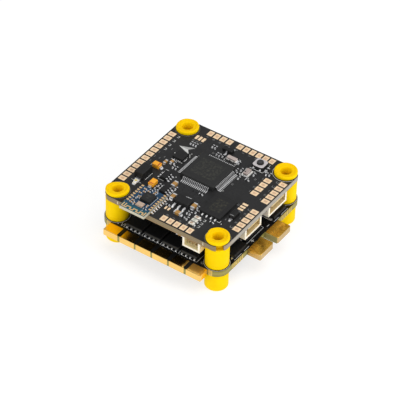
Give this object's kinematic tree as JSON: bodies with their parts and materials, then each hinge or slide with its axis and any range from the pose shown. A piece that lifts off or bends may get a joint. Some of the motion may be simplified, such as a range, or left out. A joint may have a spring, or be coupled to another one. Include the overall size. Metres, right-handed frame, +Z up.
{
  "type": "flight controller stack",
  "caption": "Flight controller stack for a small multirotor: a controller board with edge solder pads over a motor speed controller board with gold pads, held apart by soft grommets.",
  "frame": {"origin": "centre of the square hole pattern, on the plane of the lower grommets' feet", "axes": "+Z up along the mounting screws, +Y the direction of flight that the printed arrow shows, +X to the right"},
  "size_m": [0.044, 0.0413, 0.0174],
  "materials": {
    "solder_mask": "satin",
    "esc_solder_mask": "gloss",
    "pad_gold": "satin",
    "heavy_gold": "gloss",
    "grommet_silicone": "satin",
    "chip_epoxy": "matte",
    "tinned_lead": "satin",
    "sensor_can": "satin",
    "button_plastic": "satin",
    "button_steel": "satin",
    "tantalum_case": "satin",
    "led_case": "gloss",
    "capacitor_ceramic": "satin",
    "resistor_glaze": "gloss",
    "module_mask": "gloss",
    "connector_nylon": "satin",
    "port_steel": "satin",
    "port_plastic": "satin",
    "inductor_ferrite": "matte",
    "shunt_alloy": "satin"
  },
  "bodies": {
    "stack": {"barometer_can": "sensor_can", "battery_pad_minus": "heavy_gold", "battery_pad_plus": "heavy_gold", "radio_antenna": "pad_gold", "radio_board": "module_mask", "radio_castellations": "pad_gold", "radio_chip": "chip_epoxy", "radio_crystal": "sensor_can", "boot_button_base": "button_plastic", "boot_button_cover": "button_steel", "boot_button_dome": "button_steel", "camera_connector": "connector_nylon", "ceramic_capacitor_ends": "tinned_lead", "ceramic_capacitors": "capacitor_ceramic", "chip_resistor_ends": "tinned_lead", "chip_resistors": "resistor_glaze", "connector_contacts": "tinned_lead", "crystal_can": "sensor_can", "current_shunt": "shunt_alloy", "display_chip": "chip_epoxy", "display_chip_leads": "tinned_lead", "driver_chip_leads": "tinned_lead", "driver_chips": "chip_epoxy", "esc_board": "esc_solder_mask", "esc_grommets": "grommet_silicone", "fc_board": "solder_mask", "fc_grommets": "grommet_silicone", "fc_jumper_pads": "pad_gold", "fc_solder_pads": "pad_gold", "flash_chip": "chip_epoxy", "flash_terminals": "tinned_lead", "gate_driver_chips": "chip_epoxy", "gyro_chip": "chip_epoxy", "harness_connector_lower": "connector_nylon", "harness_connector_upper": "connector_nylon", "motor_controller_chips": "chip_epoxy", "motor_pads_left": "heavy_gold", "motor_pads_right": "heavy_gold", "power_diode": "chip_epoxy", "power_diode_terminals": "tinned_lead", "power_inductors": "inductor_ferrite", "power_transistor_terminals": "tinned_lead", "power_transistors": "chip_epoxy", "processor_body": "chip_epoxy", "processor_leads": "tinned_lead", "receiver_connector": "connector_nylon", "signal_leds": "led_case", "small_signal_leads": "tinned_lead", "small_signal_parts": "chip_epoxy", "status_led": "led_case", "surge_diode": "chip_epoxy", "surge_diode_terminals": "tinned_lead", "tantalum_capacitors": "tantalum_case", "tantalum_terminals": "tinned_lead", "usb_shell": "port_steel", "usb_tongue": "port_plastic", "video_connector": "connector_nylon", "voltage_regulator": "chip_epoxy", "voltage_regulator_leads": "tinned_lead"},
    "boot_plunger": {"boot_button_plunger": "button_plastic"}
  },
  "joints": [
    {"name": "boot_button_press", "type": "slide", "parent": "stack", "child": "boot_plunger", "axis": [0, 0, -1], "range_m": [0, 0.00025], "stiffness_N_per_m": 6400}
  ]
}
